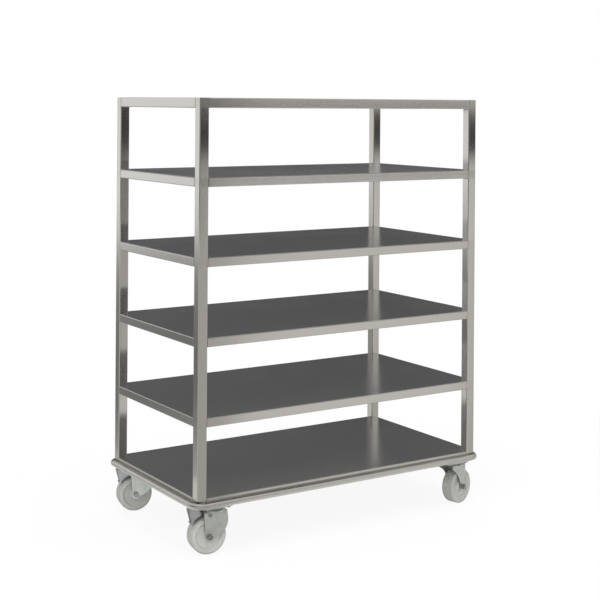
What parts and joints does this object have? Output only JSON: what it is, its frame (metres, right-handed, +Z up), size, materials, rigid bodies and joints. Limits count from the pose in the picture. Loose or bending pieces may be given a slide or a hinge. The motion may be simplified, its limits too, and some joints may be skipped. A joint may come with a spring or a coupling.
{
  "type": "banquet cart",
  "caption": "Tall open steel banquet cart with flat sheet shelves between square-tube corner posts, a round bumper tube at deck level, and swivel castors.",
  "frame": {"origin": "on the floor under the middle of the cart", "axes": "+X along the cart's length to the right, -Y the front, +Z up"},
  "size_m": [1.2444, 0.6904, 1.5415],
  "materials": {
    "tube_steel": "satin stainless tube",
    "sheet_steel": "satin stainless sheet",
    "zinc_plate": "zinc-plated pressed steel",
    "zinc_fastener": "bright zinc-plated fasteners",
    "nylon": "off-white moulded nylon"
  },
  "bodies": {
    "frame": {"post_front_left": "tube_steel", "post_front_right": "tube_steel", "post_back_left": "tube_steel", "post_back_right": "tube_steel", "post_caps": "tube_steel", "top_rail_front": "tube_steel", "top_rail_back": "tube_steel", "top_rail_left": "tube_steel", "top_rail_right": "tube_steel", "deck_rail_front": "tube_steel", "deck_rail_back": "tube_steel", "deck_rail_left": "tube_steel", "deck_rail_right": "tube_steel", "deck_panel": "sheet_steel", "shelf_1_rail_front": "tube_steel", "shelf_1_rail_back": "tube_steel", "shelf_1_rail_left": "tube_steel", "shelf_1_rail_right": "tube_steel", "shelf_1_panel": "sheet_steel", "shelf_2_rail_front": "tube_steel", "shelf_2_rail_back": "tube_steel", "shelf_2_rail_left": "tube_steel", "shelf_2_rail_right": "tube_steel", "shelf_2_panel": "sheet_steel", "shelf_3_rail_front": "tube_steel", "shelf_3_rail_back": "tube_steel", "shelf_3_rail_left": "tube_steel", "shelf_3_rail_right": "tube_steel", "shelf_3_panel": "sheet_steel", "shelf_4_rail_front": "tube_steel", "shelf_4_rail_back": "tube_steel", "shelf_4_rail_left": "tube_steel", "shelf_4_rail_right": "tube_steel", "shelf_4_panel": "sheet_steel", "shelf_stiffeners": "sheet_steel", "bumper_left": "tube_steel", "bumper_right": "tube_steel", "castor_mounts": "sheet_steel", "castor_bolts": "zinc_fastener", "castor_kingpins": "zinc_fastener", "castor_front_left_plate": "zinc_plate", "castor_front_right_plate": "zinc_plate", "castor_back_left_plate": "zinc_plate", "castor_back_right_plate": "zinc_plate"},
    "fork_front_left": {"castor_front_left_fork": "zinc_plate", "castor_front_left_axle": "zinc_fastener", "castor_front_left_brake_pin": "zinc_fastener"},
    "wheel_front_left": {"castor_front_left_wheel": "nylon"},
    "brake_front_left": {"castor_front_left_brake_pedal": "zinc_plate"},
    "fork_front_right": {"castor_front_right_fork": "zinc_plate", "castor_front_right_axle": "zinc_fastener"},
    "wheel_front_right": {"castor_front_right_wheel": "nylon"},
    "fork_back_left": {"castor_back_left_fork": "zinc_plate", "castor_back_left_axle": "zinc_fastener", "castor_back_left_brake_pin": "zinc_fastener"},
    "wheel_back_left": {"castor_back_left_wheel": "nylon"},
    "brake_back_left": {"castor_back_left_brake_pedal": "zinc_plate"},
    "fork_back_right": {"castor_back_right_fork": "zinc_plate", "castor_back_right_axle": "zinc_fastener"},
    "wheel_back_right": {"castor_back_right_wheel": "nylon"}
  },
  "joints": [
    {"name": "swivel_front_left", "type": "hinge", "parent": "frame", "child": "fork_front_left", "pos_m": [-0.512, -0.279, 0.17], "axis": [0, 0, 1], "continuous": true},
    {"name": "roll_front_left", "type": "hinge", "parent": "fork_front_left", "child": "wheel_front_left", "pos_m": [-0.53669, -0.27509, 0.0635], "axis": [0.1564, 0.9877, 0], "continuous": true},
    {"name": "brake_front_left", "type": "hinge", "parent": "fork_front_left", "child": "brake_front_left", "pos_m": [-0.5357, -0.27525, 0.136], "axis": [-0.1564, -0.9877, 0], "range_deg": [0, 4.5]},
    {"name": "swivel_front_right", "type": "hinge", "parent": "frame", "child": "fork_front_right", "pos_m": [0.53, -0.279, 0.17], "axis": [0, 0, 1], "continuous": true},
    {"name": "roll_front_right", "type": "hinge", "parent": "fork_front_right", "child": "wheel_front_right", "pos_m": [0.55415, -0.27253, 0.0635], "axis": [0.2588, -0.9659, 0], "continuous": true},
    {"name": "swivel_back_left", "type": "hinge", "parent": "frame", "child": "fork_back_left", "pos_m": [-0.512, 0.279, 0.17], "axis": [0, 0, 1], "continuous": true},
    {"name": "roll_back_left", "type": "hinge", "parent": "fork_back_left", "child": "wheel_back_left", "pos_m": [-0.53654, 0.28377, 0.0635], "axis": [0.1908, 0.9816, 0], "continuous": true},
    {"name": "brake_back_left", "type": "hinge", "parent": "fork_back_left", "child": "brake_back_left", "pos_m": [-0.53556, 0.28358, 0.136], "axis": [-0.1908, -0.9816, 0], "range_deg": [0, 4.5]},
    {"name": "swivel_back_right", "type": "hinge", "parent": "frame", "child": "fork_back_right", "pos_m": [0.53, 0.279, 0.17], "axis": [0, 0, 1], "continuous": true},
    {"name": "roll_back_right", "type": "hinge", "parent": "fork_back_right", "child": "wheel_back_right", "pos_m": [0.55476, 0.27552, 0.0635], "axis": [-0.1392, -0.9903, 0], "continuous": true}
  ]
}
